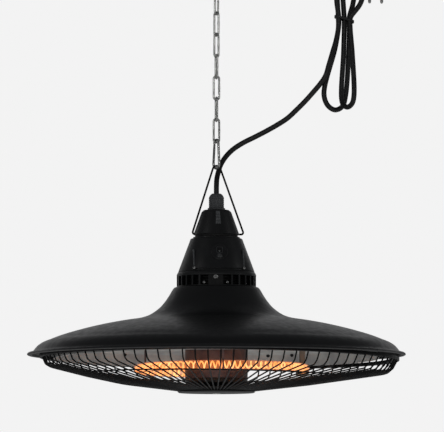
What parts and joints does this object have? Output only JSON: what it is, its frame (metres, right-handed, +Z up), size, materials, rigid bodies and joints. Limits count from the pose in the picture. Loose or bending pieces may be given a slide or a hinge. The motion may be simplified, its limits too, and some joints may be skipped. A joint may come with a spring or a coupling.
{
  "type": "hanging infrared heater",
  "caption": "Wide black shade over a ring lamp behind a wire guard, with a vented conical neck, hung by a wire bail, snap hooks and a link chain.",
  "frame": {"origin": "inside the top hook's upper crown, where the ring that holds the heater bears", "axes": "+Z up; the control panel faces -Y; the bail lies along X and the spare cord hangs to +X"},
  "size_m": [0.58, 0.58, 0.6984],
  "materials": {
    "black_paint": "satin black enamel on sheet steel",
    "black_wire": "black enamelled wire",
    "black_plastic": "heat-resistant moulded black plastic",
    "grey_plastic": "dark grey moulded nylon",
    "zinc": "zinc-plated wire",
    "steel": "plain bright steel",
    "aluminium": "rolled aluminium, dulled by heat",
    "hub_sheet": "dark steel drum, lit red by the lamp",
    "quartz": "clear quartz, glowing orange when lit",
    "hot_wire": "heated alloy wire, glowing orange",
    "ceramic": "unglazed ceramic",
    "rubber": "black rubber jacket",
    "lens": "smoked clear plastic",
    "board": "printed board, green lacquer"
  },
  "bodies": {
    "ceiling_hook": {"ceiling_hook_frame": "zinc", "ceiling_hook_pin": "steel"},
    "ceiling_gate": {"ceiling_hook_gate": "steel"},
    "link_1": {"chain_link_1": "zinc"},
    "link_2": {"chain_link_2": "zinc"},
    "link_3": {"chain_link_3": "zinc"},
    "link_4": {"chain_link_4": "zinc"},
    "link_5": {"chain_link_5": "zinc"},
    "link_6": {"chain_link_6": "zinc"},
    "link_7": {"chain_link_7": "zinc"},
    "link_8": {"chain_link_8": "zinc"},
    "snap_hook": {"snap_hook_frame": "zinc", "snap_hook_pin": "steel"},
    "snap_gate": {"snap_hook_gate": "steel"},
    "bail": {"hanging_bail": "black_wire"},
    "power_button": {"power_button": "steel"},
    "heater": {"gland_body": "grey_plastic", "gland_nut": "grey_plastic", "gland_seal": "rubber", "gland_locknut": "grey_plastic", "neck_cap": "black_plastic", "neck_cone": "black_plastic", "front_panel": "black_plastic", "vent_ring": "black_plastic", "louvre_ring": "black_plastic", "panel_screw_left": "steel", "panel_screw_right": "steel", "vent_screw": "steel", "mounting_plate": "aluminium", "control_board": "board", "terminal_block": "ceramic", "thermal_cutout": "steel", "inner_cable": "rubber", "control_bezel": "grey_plastic", "receiver_window": "lens", "shade": "black_paint", "centre_tube": "aluminium", "heat_shield": "aluminium", "reflector": "aluminium", "hub_drum": "hub_sheet", "hub_base": "black_paint", "lamp_tube": "quartz", "lamp_filament": "hot_wire", "lamp_end_first": "ceramic", "lamp_end_last": "ceramic", "lamp_clip_1": "aluminium", "lamp_clip_2": "aluminium", "guard_rim": "black_paint", "guard_wires": "black_wire", "guard_hoop_corner": "black_wire", "guard_hoop_lower": "black_wire", "guard_plate_upper": "black_paint", "guard_plate_lower": "black_paint", "guard_screw": "steel", "cord_lead": "rubber", "cord_hank": "rubber", "cord_tie": "rubber", "plug": "rubber", "cord_hook": "steel"}
  },
  "joints": [
    {"name": "ceiling_gate_hinge", "type": "hinge", "parent": "ceiling_hook", "child": "ceiling_gate", "pos_m": [0, -0.0056, -0.0064], "axis": [1, 0, 0], "range_deg": [0, 24], "stiffness_Nm_per_rad": 0.002, "springref_deg": -17.19},
    {"name": "link_1_swing", "type": "hinge", "parent": "ceiling_hook", "child": "link_1", "pos_m": [0, 0, -0.042], "axis": [0, 1, 0], "range_deg": [-12, 12]},
    {"name": "link_2_swing", "type": "hinge", "parent": "link_1", "child": "link_2", "pos_m": [0, 0, -0.0747], "axis": [0.9563, -0.2924, 0], "range_deg": [-12, 12]},
    {"name": "link_3_swing", "type": "hinge", "parent": "link_2", "child": "link_3", "pos_m": [0, 0, -0.1078], "axis": [-0.6494, -0.7604, 0], "range_deg": [-12, 12]},
    {"name": "link_4_swing", "type": "hinge", "parent": "link_3", "child": "link_4", "pos_m": [0, 0, -0.1409], "axis": [-0.6756, 0.7373, 0], "range_deg": [-12, 12]},
    {"name": "link_5_swing", "type": "hinge", "parent": "link_4", "child": "link_5", "pos_m": [0, 0, -0.174], "axis": [0.8039, 0.5948, 0], "range_deg": [-12, 12]},
    {"name": "link_6_swing", "type": "hinge", "parent": "link_5", "child": "link_6", "pos_m": [0, 0, -0.2071], "axis": [0.2164, -0.9763, 0], "range_deg": [-12, 12]},
    {"name": "link_7_swing", "type": "hinge", "parent": "link_6", "child": "link_7", "pos_m": [0, 0, -0.2402], "axis": [-0.9936, -0.1132, 0], "range_deg": [-12, 12]},
    {"name": "link_8_swing", "type": "hinge", "parent": "link_7", "child": "link_8", "pos_m": [0, 0, -0.2733], "axis": [-0.165, 0.9863, 0], "range_deg": [-12, 12]},
    {"name": "snap_hook_swing", "type": "hinge", "parent": "link_8", "child": "snap_hook", "pos_m": [0, 0, -0.3064], "axis": [0.9936, 0.1132, 0], "range_deg": [-10, 10]},
    {"name": "snap_gate_hinge", "type": "hinge", "parent": "snap_hook", "child": "snap_gate", "pos_m": [-0.00267, 0.00492, -0.3109], "axis": [-0.8788, -0.4772, 0], "range_deg": [0, 24], "stiffness_Nm_per_rad": 0.002, "springref_deg": -17.19},
    {"name": "bail_swing", "type": "hinge", "parent": "snap_hook", "child": "bail", "pos_m": [0, 0, -0.3465], "axis": [0.4772, -0.8788, 0], "range_deg": [-8, 8]},
    {"name": "heater_tilt", "type": "hinge", "parent": "bail", "child": "heater", "pos_m": [0, 0, -0.44823], "axis": [1, 0, 0], "range_deg": [-20, 4]},
    {"name": "button_press", "type": "slide", "parent": "heater", "child": "power_button", "axis": [0, 0.9369, -0.3496], "range_m": [0, 0.0012], "stiffness_N_per_m": 400, "springref_m": -0.0005}
  ]
}
